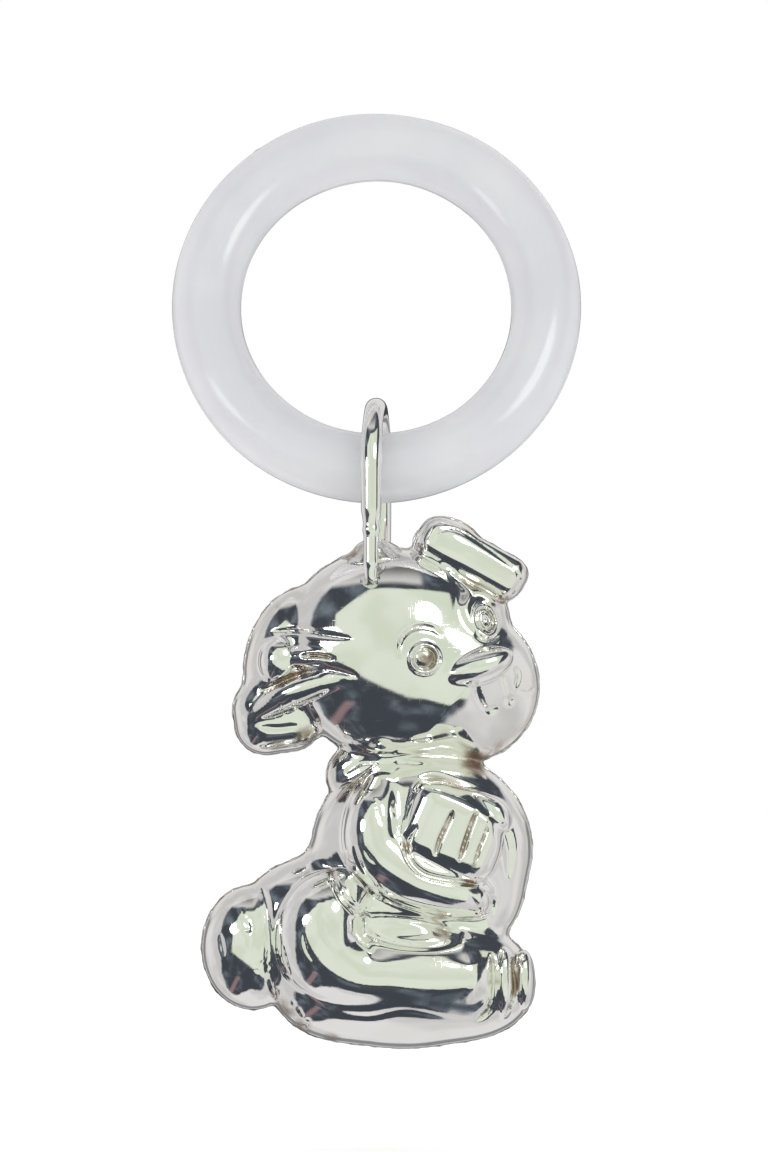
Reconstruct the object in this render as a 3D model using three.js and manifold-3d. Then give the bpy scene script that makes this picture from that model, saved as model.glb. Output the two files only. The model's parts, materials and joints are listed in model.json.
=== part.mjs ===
// Baby rattle: a hollow silver puppy, stamped in two halves, hung by a wire bail on a plastic teething ring.
// Millimetres, +Z up. The puppy is seen from -Y, looking towards +X.
// The origin is the middle of the ring's tube at its highest point, where the rattle is held.
import * as THREE from 'three';
import { mergeVertices } from 'three/addons/utils/BufferGeometryUtils.js';
import Module from 'manifold-3d';

// Teething ring
const RING_RADIUS = 18.6; // centre of the ring to the middle of its tube
const TUBE_RADIUS = 3.9;
const RING_LEAN = THREE.MathUtils.degToRad(16); // the ring's top leans back, towards +Y

// Wire bail
const WIRE_RADIUS = 1.1;
const BAIL_RADIUS = 6.2; // middle of the ring's tube to the middle of the wire
const BAIL_LEG = 11.0; // middle of the ring's tube down to the wire's ends
const BAIL_TWIST = THREE.MathUtils.degToRad(-5); // the bail sits slightly turned on the head

// Silver shells
const WALL = 0.45;
const SEAM = 0.3; // thickness of the solder line between the two halves
const SOLDER_GAP = 0.3; // solder pieces stop this far from their neighbours

// Rattle pellets, steel shot in lanes that run straight up the hollow
const PELLET_RADIUS = 1.6;
const PELLET_CLEARANCE = 0.3; // room for the flats of the hollow
const PELLET_PITCH = 3.5; // between neighbouring lanes
const PELLET_MIDDLE_X = 2.9; // the middle lane, below the widest part of the neck

// Facets round a large puff and a small one, and from pole to pole
const LARGE = [14, 9];
const SMALL = [8, 6];

const HALF_TURN = Math.PI;
const HINGE = new THREE.Vector3(
  0,
  -2 * RING_RADIUS * Math.sin(RING_LEAN),
  -2 * RING_RADIUS * Math.cos(RING_LEAN),
);

// The puppy is built from rounded puffs, measured from the middle of the ring's tube at its lowest point:
// across (x), depth (y) and height (z) of the middle, the three half sizes, and the tilt in degrees
// seen from the front. Every core puff is centred on the seam, so both halves share one outline.
const CORE = {
  head: { at: [1.0, 0, -20.0], half: [11.6, 8.0, 11.1], tilt: 0 },
  muzzle: { at: [10.5, 0, -24.0], half: [7.2, 5.8, 8.2], tilt: 0 },
  near_ear_top: { at: [-8.2, 0, -20.6], half: [6.3, 4.6, 7.8], tilt: -20 },
  near_ear_lobe: { at: [-10.6, 0, -26.4], half: [4.9, 3.6, 4.9], tilt: 0 },
  neck: { at: [2.8, 0, -33.0], half: [8.6, 6.4, 5.8], tilt: 0 },
  torso: { at: [5.2, 0, -42.0], half: [11.8, 7.4, 10.2], tilt: 0 },
  back_slope: { at: [-5.4, 0, -49.6], half: [8.6, 5.6, 8.0], tilt: 0 },
  hips: { at: [2.8, 0, -54.0], half: [14.4, 8.0, 9.3], tilt: 0 },
  far_foot: { at: [12.6, 0, -56.2], half: [4.6, 5.2, 4.8], tilt: 0 },
  tail: { at: [-12.8, 0, -52.2], half: [6.1, 4.8, 7.1], tilt: 0 },
};

// The turned-up ear is a short solid bar above the forehead, too thin to be worth hollowing.
const UPPER_EAR = {
  ear_bar: { at: [10.4, 0, -10.3], half: [6.6, 3.0, 3.7], tilt: -31 },
  ear_bar_root: { at: [7.5, 0, -9.2], half: [3.8, 3.2, 3.5], tilt: 0 },
  ear_bar_end: { at: [13.6, 0, -12.9], half: [2.9, 2.6, 3.2], tilt: -31 },
};

// Raised work that both halves carry. The depth given is for the front and is mirrored for the back.
const LIMBS = {
  haunch: { at: [-4.0, -4.6, -50.4], half: [6.4, 4.0, 6.2], tilt: 0 },
  leg: { at: [2.8, -6.6, -54.8], half: [8.2, 2.6, 2.9], tilt: -4 },
  foot: { at: [9.0, -6.4, -54.6], half: [3.2, 2.4, 2.6], tilt: 0 },
  upper_arm: { at: [-0.2, -5.4, -40.0], half: [3.2, 3.0, 6.6], tilt: 8 },
  forearm: { at: [5.2, -6.6, -46.6], half: [7.6, 2.2, 2.5], tilt: -10 },
  ear_roll: { at: [-8.6, -3.4, -20.6], half: [5.0, 2.6, 5.6], tilt: -20 },
  ear_fold: { at: [-9.4, -3.0, -24.6], half: [5.6, 1.8, 2.2], tilt: 32 },
};

// Raised work on the front alone, where the face and the folded paws are turned to the viewer.
const FRONT = {
  far_arm: { at: [9.6, -5.6, -38.0], half: [6.2, 2.4, 3.4], tilt: -30 },
  fist: { at: [9.8, -6.4, -41.2], half: [4.2, 2.2, 3.0], tilt: -8 },
  paw: { at: [11.0, -6.6, -47.7], half: [2.8, 1.9, 2.3], tilt: 0 },
  snout: { at: [9.8, -5.4, -21.6], half: [4.4, 2.0, 2.0], tilt: 16 },
  jowl: { at: [12.4, -4.6, -24.6], half: [3.4, 2.0, 2.8], tilt: 0 },
};

// Small raised trim, too fine to be hollow.
const TRIM = {
  nose: { at: [13.0, -4.9, -21.0], half: [1.7, 1.5, 1.5], tilt: 0 },
  near_eye: { at: [5.2, -7.3, -20.9], half: [1.7, 0.8, 1.7], tilt: 0 },
  far_eye: { at: [12.0, -3.6, -15.8], half: [1.3, 1.2, 1.9], tilt: 0 },
  inner_toe: { at: [13.4, -5.0, -55.6], half: [1.7, 1.4, 3.2], tilt: -4 },
  outer_toe: { at: [15.4, -3.6, -55.9], half: [1.5, 1.4, 3.0], tilt: -6 },
};

const wasm = await Module();
wasm.setup();

function solidFrom(geometry) {
  const bare = geometry.index ? geometry.clone() : geometry;
  bare.deleteAttribute('normal');
  bare.deleteAttribute('uv');
  const welded = mergeVertices(bare, 1e-4);
  return new wasm.Manifold(new wasm.Mesh({
    numProp: 3,
    vertProperties: new Float32Array(welded.attributes.position.array),
    triVerts: new Uint32Array(welded.index.array),
  }));
}

function meshFrom(solid, name, material) {
  const { vertProperties, triVerts } = solid.getMesh();
  const indexed = new THREE.BufferGeometry();
  indexed.setAttribute('position', new THREE.BufferAttribute(vertProperties, 3));
  indexed.setIndex(new THREE.BufferAttribute(triVerts, 1));
  indexed.computeVertexNormals();
  const mesh = new THREE.Mesh(indexed, material);
  mesh.name = name;
  return mesh;
}

// One puff, made larger by grow on every side, in front of the seam or mirrored behind it.
function puff({ at, half, tilt }, facets, grow = 0, side = 1) {
  const ball = new THREE.SphereGeometry(1, ...facets);
  ball.rotateX(HALF_TURN / 2);
  ball.scale(half[0] + grow, half[1] + grow, half[2] + grow);
  ball.rotateY(THREE.MathUtils.degToRad(-tilt));
  ball.translate(at[0], at[1] * side, at[2]);
  ball.translate(HINGE.x, HINGE.y, HINGE.z);
  return solidFrom(ball);
}

function puffs(table, facets, grow = 0, side = 1) {
  return Object.values(table).map((entry) => puff(entry, facets, grow, side));
}

function join(solids) {
  return solids.reduce((sum, solid) => sum.add(solid));
}

// A slab across the whole puppy between two depths measured from the seam.
function slab(nearY, farY) {
  const size = 200;
  const block = new THREE.BoxGeometry(size, farY - nearY, size);
  block.translate(0, HINGE.y + (nearY + farY) / 2, HINGE.z);
  return solidFrom(block);
}

// The bail's centre line: up one leg, over the ring's tube and down the other leg.
class BailLine extends THREE.Curve {
  getPoint(t, target = new THREE.Vector3()) {
    const arch = HALF_TURN * BAIL_RADIUS;
    const along = t * (2 * BAIL_LEG + arch);
    if (along < BAIL_LEG) {
      return target.set(0, -BAIL_RADIUS, along - BAIL_LEG);
    }
    if (along > BAIL_LEG + arch) {
      return target.set(0, BAIL_RADIUS, BAIL_LEG + arch - along);
    }
    const turn = (along - BAIL_LEG) / BAIL_RADIUS;
    return target.set(0, -BAIL_RADIUS * Math.cos(turn), BAIL_RADIUS * Math.sin(turn));
  }
}

function wire(line, radius, around, steps) {
  const section = new THREE.Shape();
  section.absarc(0, 0, radius, 0, 2 * HALF_TURN, false);
  return new THREE.ExtrudeGeometry(section, {
    curveSegments: around,
    steps,
    bevelEnabled: false,
    extrudePath: line,
  });
}

// Height of a pellet's middle when it rests on the floor of the hollow, inside the hips.
function restHeight(x, y) {
  const { at, half } = CORE.hips;
  const [a, b, c] = half.map((size) => size - WALL - PELLET_RADIUS - PELLET_CLEARANCE);
  const rise = 1 - ((x - at[0]) / a) ** 2 - (y / b) ** 2;
  return at[2] - c * Math.sqrt(rise);
}

// Puppy
const body = join([
  ...puffs(CORE, LARGE),
  ...puffs(UPPER_EAR, SMALL),
  ...puffs(LIMBS, SMALL, 0, 1),
  ...puffs(LIMBS, SMALL, 0, -1),
  ...puffs(FRONT, SMALL),
  ...puffs(TRIM, SMALL),
]);
const hollow = join([
  ...puffs(CORE, LARGE, -WALL),
  ...puffs(LIMBS, SMALL, -WALL, 1),
  ...puffs(LIMBS, SMALL, -WALL, -1),
  ...puffs(FRONT, SMALL, -WALL),
]);
const skin = body.subtract(hollow);
const frontShell = skin.intersect(slab(-50, -SEAM / 2));
const backShell = skin.intersect(slab(SEAM / 2, 50));
const seam = skin.intersect(slab(-SEAM / 2, SEAM / 2));

// Bail and the solder that holds it
const headAndGap = puff(CORE.head, LARGE, SOLDER_GAP);
const bailGeometry = wire(new BailLine(), WIRE_RADIUS, 10, 28);
bailGeometry.rotateZ(BAIL_TWIST);
bailGeometry.translate(HINGE.x, HINGE.y, HINGE.z);
const bail = solidFrom(bailGeometry).subtract(headAndGap);

function solderDrop(side) {
  const reach = new THREE.Vector3(0, -BAIL_RADIUS * side, 0).applyAxisAngle(
    new THREE.Vector3(0, 0, 1),
    BAIL_TWIST,
  );
  const half = [1.0, 1.0, 1.5];
  const drop = { at: [reach.x, reach.y, -BAIL_LEG - SOLDER_GAP - half[2]], half, tilt: 0 };
  return puff(drop, SMALL).subtract(headAndGap);
}

const saddle = { at: [0.2, 0, CORE.head.at[2] + CORE.head.half[2]], half: [3.2, 3.4, 1.2], tilt: 0 };
const solderSaddle = puff(saddle, SMALL).subtract(headAndGap);

// Teething ring, turned about the middle of its tube at the top, so that its lowest point comes forward
const ringGeometry = new THREE.TorusGeometry(RING_RADIUS, TUBE_RADIUS, 12, 40);
ringGeometry.rotateX(HALF_TURN / 2);
ringGeometry.translate(0, 0, -RING_RADIUS);
ringGeometry.rotateX(-RING_LEAN);

const silver = { color: 0xd9d9d6, roughness: 0.12, metalness: 1.0 };
const solderSilver = { color: 0xc4bcae, roughness: 0.3, metalness: 1.0 };
const group = new THREE.Group();
group.name = 'baby_rattle';

function place(solid, name, look) {
  group.add(meshFrom(solid, name, new THREE.MeshStandardMaterial(look)));
}

place(
  solidFrom(ringGeometry),
  'teething_ring',
  { color: 0xdbdbe0, roughness: 0.35, metalness: 0.0 },
);
place(bail, 'bail_wire', silver);
place(solderDrop(1), 'solder_front', solderSilver);
place(solderDrop(-1), 'solder_back', solderSilver);
place(solderSaddle, 'solder_saddle', solderSilver);
place(frontShell, 'front_shell', silver);
place(backShell, 'back_shell', silver);
place(seam, 'solder_seam', solderSilver);

// Three lanes run up through the neck into the head. The two beside them stay in the belly.
const rowDepth = PELLET_PITCH * Math.sin(HALF_TURN / 3);
const lanes = [
  [PELLET_MIDDLE_X - PELLET_PITCH, 0],
  [PELLET_MIDDLE_X, 0],
  [PELLET_MIDDLE_X + PELLET_PITCH, 0],
  [PELLET_MIDDLE_X - PELLET_PITCH / 2, -rowDepth],
  [PELLET_MIDDLE_X + PELLET_PITCH / 2, rowDepth],
];
lanes.forEach(([x, y], index) => {
  const half = [PELLET_RADIUS, PELLET_RADIUS, PELLET_RADIUS];
  const pellet = puff({ at: [x, y, restHeight(x, y)], half, tilt: 0 }, SMALL);
  place(pellet, `pellet_${index + 1}`, { color: 0x8c8c8c, roughness: 0.4, metalness: 1.0 });
});

export default group;
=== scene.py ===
"""Baby rattle: a hollow silver puppy on a wire bail, hung from a translucent teething ring.

The puppy is sculpted as one distance field in millimetres, measured from the hinge (the middle of
the ring's tube at its lowest point). The field is meshed, cut along the seam into the two stamped
halves and given the thickness of the sheet.
"""
import json
import math

import bmesh
import bpy
import numpy as np
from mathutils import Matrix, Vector

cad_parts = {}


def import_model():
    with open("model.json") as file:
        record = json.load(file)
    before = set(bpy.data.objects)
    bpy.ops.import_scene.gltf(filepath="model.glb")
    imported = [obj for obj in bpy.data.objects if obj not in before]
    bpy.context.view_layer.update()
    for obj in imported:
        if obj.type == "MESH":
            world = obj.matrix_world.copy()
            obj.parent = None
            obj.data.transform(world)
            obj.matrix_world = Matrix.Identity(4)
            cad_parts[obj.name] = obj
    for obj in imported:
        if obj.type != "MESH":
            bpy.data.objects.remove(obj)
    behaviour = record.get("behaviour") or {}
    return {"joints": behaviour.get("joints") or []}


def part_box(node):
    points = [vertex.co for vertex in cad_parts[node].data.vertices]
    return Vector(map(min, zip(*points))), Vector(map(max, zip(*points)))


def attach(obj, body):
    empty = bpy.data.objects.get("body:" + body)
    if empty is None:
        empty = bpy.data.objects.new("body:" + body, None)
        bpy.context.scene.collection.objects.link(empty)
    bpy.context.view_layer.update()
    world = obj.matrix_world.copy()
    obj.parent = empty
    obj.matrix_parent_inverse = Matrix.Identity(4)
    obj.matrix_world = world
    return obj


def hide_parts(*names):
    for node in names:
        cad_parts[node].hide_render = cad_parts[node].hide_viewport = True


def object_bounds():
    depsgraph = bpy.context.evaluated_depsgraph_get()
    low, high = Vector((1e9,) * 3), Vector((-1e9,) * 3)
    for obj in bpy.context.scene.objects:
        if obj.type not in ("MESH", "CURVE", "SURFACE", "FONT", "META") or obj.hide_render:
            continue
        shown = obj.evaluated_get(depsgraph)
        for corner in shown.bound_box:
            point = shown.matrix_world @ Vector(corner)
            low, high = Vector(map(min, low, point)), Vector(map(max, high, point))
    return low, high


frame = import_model()
cad_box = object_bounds()

MM = 0.001
JOINTS = {joint["name"]: joint for joint in frame["joints"]}
HINGE = Vector(JOINTS["puppy_swing"]["pos_m"])
VOXEL = 0.22  # millimetres
SHEET = 0.45  # thickness of the silver
SEAM_HALF = 0.05  # half the gap between the two stamped halves

# The space that the puppy is sculpted in, in millimetres
WIDTH = (-20.5, 19.0)
HEIGHT = (-65.0, -3.5)
DEPTH = 10.5  # to each side of the seam

# Ring and bail, in millimetres. All but the wire's radius and the twist are read off the frame.
RING_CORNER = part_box("teething_ring")[1]
TUBE_RADIUS = RING_CORNER.z / MM
RING_RADIUS = RING_CORNER.x / MM - TUBE_RADIUS
RING_LEAN = math.atan2(-HINGE.y, -HINGE.z)
WIRE_RADIUS = 1.12
BAIL_RADIUS = (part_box("bail_wire")[1].z - HINGE.z) / MM - WIRE_RADIUS
BAIL_TWIST = math.radians(-5)


# ---------------------------------------------------------------- distance fields

def turned(x, z, centre, tilt):
    """Distances across and up from centre (x, z), in axes tilted by that many degrees."""
    cos, sin = math.cos(math.radians(tilt)), math.sin(math.radians(tilt))
    dx, dz = x - centre[0], z - centre[1]
    return dx * cos + dz * sin, dz * cos - dx * sin


def smooth_path(points, steps=10):
    """A Catmull-Rom line through the points, with that many steps between each two."""
    points = [np.array(p, float) for p in points]
    padded = [2 * points[0] - points[1], *points, 2 * points[-1] - points[-2]]
    line = []
    for p0, p1, p2, p3 in zip(padded, padded[1:], padded[2:], padded[3:]):
        for i in range(steps):
            t = i / steps
            line.append(
                0.5
                * (
                    2 * p1
                    + (p2 - p0) * t
                    + (2 * p0 - 5 * p1 + 4 * p2 - p3) * t * t
                    + (3 * p1 - p0 - 3 * p2 + p3) * t**3
                )
            )
    line.append(points[-1])
    return np.array(line)


class Puff:
    """A rounded lump with three half sizes. A wedge thins it towards +X and downwards, per millimetre."""

    def __init__(self, at, half, tilt=0, blend=0.6, wedge=(0, 0)):
        self.at, self.half, self.tilt, self.blend, self.wedge = at, half, tilt, blend, wedge

    def box(self):
        reach = max(self.half)
        return [(c - reach, c + reach) for c in self.at]

    def __call__(self, x, y, z):
        u, w = turned(x, z, self.at[::2], self.tilt)
        v = y - self.at[1]
        if any(self.wedge):
            v = v / np.clip(1 - self.wedge[0] * u + self.wedge[1] * w, 0.35, 1.0)
        a, b, c = self.half
        near = np.sqrt((u / a) ** 2 + (v / b) ** 2 + (w / c) ** 2)
        slope = np.sqrt((u / a**2) ** 2 + (v / b**2) ** 2 + (w / c**2) ** 2)
        return near * (near - 1) / np.maximum(slope, 1e-4)


class Roll:
    """A limb: a round bar along points (x, y, z, radius), its depth scaled by flat."""

    def __init__(self, points, flat=1.0, blend=0.4):
        self.points = smooth_path(points, 12) if len(points) > 2 else np.array(points, float)
        self.flat, self.blend = flat, blend

    def box(self):
        reach = max(p[3] for p in self.points) * max(1.0, self.flat)
        return [
            (min(p[i] for p in self.points) - reach, max(p[i] for p in self.points) + reach)
            for i in range(3)
        ]

    def __call__(self, x, y, z):
        best = None
        for (ax, ay, az, ar), (bx, by, bz, br) in zip(self.points, self.points[1:]):
            dx, dy, dz = bx - ax, (by - ay) / self.flat, bz - az
            px, py, pz = x - ax, (y - ay) / self.flat, z - az
            t = np.clip((px * dx + py * dy + pz * dz) / (dx * dx + dy * dy + dz * dz), 0, 1)
            far = np.sqrt((px - t * dx) ** 2 + (py - t * dy) ** 2 + (pz - t * dz) ** 2)
            here = far - (ar + t * (br - ar))
            best = here if best is None else np.minimum(best, here)
        return best * min(1.0, self.flat)


class Slab:
    """A box with round edges."""

    def __init__(self, at, half, tilt, edge, blend):
        self.at, self.half, self.tilt, self.edge, self.blend = at, half, tilt, edge, blend

    def box(self):
        reach = math.hypot(self.half[0], self.half[2])
        return [(c - reach, c + reach) for c in self.at]

    def __call__(self, x, y, z):
        u, w = turned(x, z, self.at[::2], self.tilt)
        v = y - self.at[1]
        qx, qy, qz = (abs(p) - h + self.edge for p, h in zip((u, v, w), self.half))
        out = np.sqrt(np.maximum(qx, 0) ** 2 + np.maximum(qy, 0) ** 2 + np.maximum(qz, 0) ** 2)
        return out + np.minimum(np.maximum(qx, np.maximum(qy, qz)), 0) - self.edge


def smooth_min(a, b, blend):
    """The lesser of two distances, rounded off where they differ by less than blend."""
    share = np.maximum(blend - abs(a - b), 0) / blend
    return np.minimum(a, b) - share * share * blend * 0.25


# ---------------------------------------------------------------- the puppy's form

# Lumps that both halves share. They are centred on the seam and set the outline.
CORE = [
    Puff((1.2, 0, -20.1), (11.7, 8.3, 11.3)),  # head
    Puff((9.6, 0, -23.8), (8.1, 6.8, 8.3), blend=2.4, wedge=(0.05, 0.04)),  # muzzle
    Puff((10.4, 0, -16.2), (4.0, 4.6, 3.6), blend=1.2, wedge=(0.05, 0)),  # brow over the far eye
    Puff((-8.6, 0, -21.2), (5.7, 4.4, 8.2), tilt=-12, blend=0.8),  # hanging ear
    Slab((-10.8, 0, -27.0), (4.7, 3.5, 4.1), tilt=8, edge=3.3, blend=1.0),  # its lobe
    Slab((10.45, 0, -9.95), (6.3, 3.1, 2.4), tilt=-29, edge=1.9, blend=0.5),  # turned-up ear
    Puff((7.6, 0, -8.9), (3.6, 3.0, 3.2), blend=0.8),
    Puff((3.1, 0, -33.6), (8.5, 3.2, 5.2), blend=0.5),  # neck
    Puff((4.95, 0, -41.5), (12.0, 7.4, 10.7), blend=0.5, wedge=(0, 0.05)),  # chest and belly
    Puff((8.2, 0, -47.0), (7.4, 4.6, 6.0), blend=2.0),
    Puff((2.9, 0, -48.2), (7.2, 6.2, 4.6), blend=0.8),  # waist, wide enough for the shot to pass
    Puff((-6.2, 0, -50.2), (9.0, 6.0, 7.8), blend=2.5),  # rump
    Puff((3.0, 0, -55.6), (13.9, 8.3, 7.7), blend=1.2, wedge=(0, 0.014)),  # hips
    Puff((10.4, 0, -57.0), (6.5, 5.8, 5.0), blend=1.5),  # feet
    Puff((-4.4, 0, -56.2), (6.9, 6.2, 5.8), blend=2.0),
    Puff((-13.4, 0, -52.3), (5.6, 5.2, 6.75), blend=0.5),  # tail
]

# Raised work that both halves carry, given for the front.
LIMBS = [
    Roll(
        [
            (-3.4, -3.8, -46.0, 2.8),
            (-5.7, -3.8, -49.3, 4.9),
            (-5.3, -3.7, -52.6, 5.1),
            (-1.6, -4.2, -54.7, 4.0),
            (3.4, -4.6, -55.0, 3.5),
            (9.4, -4.1, -55.2, 3.3),
        ],
        1.15,
        0.4,
    ),  # haunch and leg
    Roll(
        [
            (0.7, -3.2, -35.2, 2.5),
            (-0.2, -4.4, -38.0, 3.2),
            (0.2, -4.5, -41.3, 3.7),
            (3.4, -4.3, -43.9, 3.9),
            (7.2, -4.4, -45.4, 3.3),
            (10.2, -4.0, -46.3, 2.5),
        ],
        1.2,
        0.6,
    ),  # near arm
    Puff((2.2, -1.0, -27.9), (6.8, 4.3, 3.6), blend=1.2),  # jaw
    Puff((-10.5, -3.0, -21.0), (2.2, 2.5, 2.7), tilt=-8, blend=0.4),  # folds of the hanging ear
    Roll([(-3.0, -6.6, -20.3, 0.6), (-5.8, -5.8, -20.5, 1.2), (-8.4, -4.6, -20.6, 1.1)], 0.9, 0.3),
    Roll(
        [
            (-1.5, -7.0, -23.4, 0.3),
            (-5.4, -5.6, -23.3, 1.2),
            (-9.4, -4.2, -24.7, 1.6),
            (-13.4, -2.4, -27.1, 0.9),
        ],
        1.0,
        0.3,
    ),
]

# Raised work on the front alone.
FACE = [
    Puff((10.5, -5.0, -21.8), (4.5, 3.0, 2.0), tilt=18, blend=0.25),  # snout
    Roll([(2.6, -2.6, -32.3, 0.8), (5.0, -2.8, -32.4, 0.9), (8.4, -2.2, -33.0, 0.6)], 1.0, 0.3),  # collar
    Slab((8.3, -4.5, -39.2), (5.7, 4.1, 4.9), tilt=-22, edge=2.9, blend=0.3),  # far arm and hand
    Puff((13.8, -3.8, -55.9), (1.25, 2.4, 3.8), blend=0.25),  # toes
    Puff((16.0, -2.4, -55.7), (1.25, 2.4, 3.3), blend=0.25),
]

# Fine lines: points (x, z), half width, depth (negative stands proud) and how far each end fades
# out as a share of the length. Both halves carry the first set.
LINES = [
    ([(-11.4, -17.9), (-8.6, -17.8), (-6.4, -18.1), (-2.4, -18.6)], 0.30, 0.35, 0.25),  # ear fold
    ([(-8.2, -20.5), (-6.4, -20.4), (-4.4, -20.7)], 0.2, 0.5, 0.3),  # slit in the rolled fold
    ([(-12.6, -24.4), (-9.5, -23.0), (-5.8, -21.9), (-2.0, -22.6)], 0.32, 0.4, 0.25),
    ([(-10.4, -25.5), (-9.7, -27.0)], 0.12, 0.14, 0.4),
    ([(-9.0, -25.2), (-8.2, -26.8)], 0.12, 0.14, 0.4),
    ([(-12.6, -28.2), (-10.4, -28.3), (-8.4, -28.0)], 0.30, 0.2, 0.3),  # above the lobe
    ([(-3.4, -33.3), (-1.8, -32.2), (0.4, -31.9)], 0.25, 0.2, 0.3),  # shoulder
    ([(-0.1, -35.6), (0.2, -37.0), (0.7, -38.8)], 0.13, 0.16, 0.4),  # strokes on the arm
    ([(-1.3, -40.9), (-0.7, -42.0), (0.1, -42.7)], 0.15, 0.16, 0.4),
    ([(-2.4, -40.7), (-1.9, -42.3), (-1.1, -44.0)], 0.25, 0.2, 0.35),
    ([(10.0, -46.2), (10.8, -47.2), (11.2, -48.2)], 0.15, 0.16, 0.35),  # paw
    ([(-4.9, -43.3), (-3.9, -45.9), (-2.6, -47.4), (-0.6, -48.7)], 0.35, 0.4, 0.3),  # hip
    ([(-5.9, -48.6), (-5.2, -50.6), (-3.9, -52.2)], 0.2, 0.13, 0.4),  # strokes on the haunch
    ([(-7.8, -50.0), (-7.4, -51.8), (-6.6, -53.2)], 0.16, 0.12, 0.4),
    ([(-10.0, -51.5), (-9.7, -53.2), (-9.2, -54.6)], 0.16, 0.12, 0.4),
    ([(-8.0, -56.2), (-4.9, -58.5), (-1.0, -59.2), (3.4, -58.5), (9.3, -59.8)], 0.4, 0.08, 0.3),  # sole
    ([(-12.4, -45.6), (-11.8, -47.9), (-11.6, -51.8), (-11.6, -54.4), (-10.8, -58.0)], 0.4, 0.3, 0.2),
    ([(-16.9, -50.6), (-16.4, -53.0)], 0.25, 0.12, 0.4),  # strokes on the tail
    ([(-14.7, -47.8), (-13.9, -49.6), (-13.7, -52.0)], 0.25, 0.12, 0.4),
]
FRONT_LINES = [
    ([(2.4, -20.6), (2.6, -18.9), (3.4, -17.8), (4.7, -17.3), (6.0, -17.5), (7.0, -18.3)], 0.26, 0.34, 0.3),
    ([(10.6, -18.2), (11.8, -18.8), (13.3, -18.4)], 0.25, 0.22, 0.3),  # below the far eye
    ([(6.9, -10.4), (9.9, -13.3), (9.7, -15.4), (10.7, -18.0)], 0.6, -0.35, 0.3),  # ridge of the brow
    ([(5.8, -7.9), (7.2, -6.9), (9.0, -7.0), (12.2, -9.0), (15.0, -11.1)], 0.16, 0.16, 0.2),
    ([(15.0, -11.1), (15.5, -12.4), (13.9, -14.5), (12.6, -14.2)], 0.16, 0.16, 0.2),
    ([(14.9, -21.6), (15.3, -22.6), (15.0, -24.0)], 0.26, 0.26, 0.3),  # nostril
    ([(13.6, -22.6), (13.8, -23.6), (14.2, -24.9)], 0.18, 0.16, 0.3),
    ([(15.2, -24.3), (16.4, -24.5), (17.2, -24.0)], 0.14, 0.16, 0.3),  # mouth
    ([(10.7, -23.4), (11.0, -24.9), (11.7, -26.1), (12.4, -26.4), (13.0, -25.9)], 0.28, 0.4, 0.2),
    ([(4.6, -33.7), (7.2, -34.2), (11.4, -36.4), (14.0, -40.2), (14.3, -44.6)], 0.65, 0.5, 0.25),
    ([(4.4, -38.6), (3.3, -40.2), (3.6, -42.2), (5.2, -43.8), (8.5, -44.6), (11.0, -45.1)], 0.35, 0.45, 0.2),
    ([(11.0, -45.1), (12.3, -46.2), (12.6, -48.4)], 0.25, 0.25, 0.3),
    ([(8.3, -36.9), (7.6, -38.3), (6.7, -40.3), (6.3, -41.9)], 0.28, 0.5, 0.3),  # between the fingers
    ([(10.8, -36.9), (10.2, -38.3), (9.4, -40.6), (8.9, -42.4)], 0.28, 0.5, 0.3),
    ([(12.2, -37.9), (11.7, -39.4), (10.9, -41.4), (10.5, -42.9)], 0.24, 0.4, 0.3),
    ([(3.9, -36.0), (3.3, -37.3), (3.2, -38.6)], 0.13, 0.1, 0.4),
    ([(13.6, -34.0), (15.0, -36.0), (16.2, -38.4)], 0.4, 0.12, 0.4),
    ([(12.4, -52.6), (12.6, -55.7), (12.3, -58.2), (10.8, -59.8)], 0.35, 0.5, 0.2),  # toes
    ([(14.6, -53.4), (14.9, -56.9), (13.9, -59.3)], 0.25, 0.35, 0.25),
]
BACK_LINES = [
    ([(8.6, -37.0), (8.0, -40.4), (8.4, -43.0)], 0.28, 0.4, 0.3),
    ([(12.4, -52.6), (12.6, -55.7), (12.3, -58.2)], 0.35, 0.4, 0.2),
]

# Oval grooves: centre (x, z), half sizes (none is a dimple), width, depth (negative stands proud)
# and tilt.
FRONT_OVALS = [
    ((5.2, -20.7), (1.5, 1.5), 0.26, -0.38),  # near eye
    ((5.2, -20.7), (1.12, 1.12), 0.15, 0.22),
    ((5.2, -20.7), (0, 0), 0.85, -0.40),
    ((5.1, -20.6), (0, 0), 0.16, 0.30),
    ((11.8, -16.6), (1.15, 1.70), 0.20, -0.20, 20),  # far eye
    ((11.8, -16.6), (0.80, 1.20), 0.16, 0.20, 20),
    ((11.8, -16.6), (0.45, 0.75), 0.16, -0.18, 20),
    ((11.9, -16.6), (0, 0), 0.22, 0.22),
    ((14.35, -25.35), (0, 0), 0.42, 0.35),  # corner of the mouth
    ((3.1, -50.2), (5.0, 1.4), 0.35, 0.35, -8),  # fold between arm and leg
]

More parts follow.
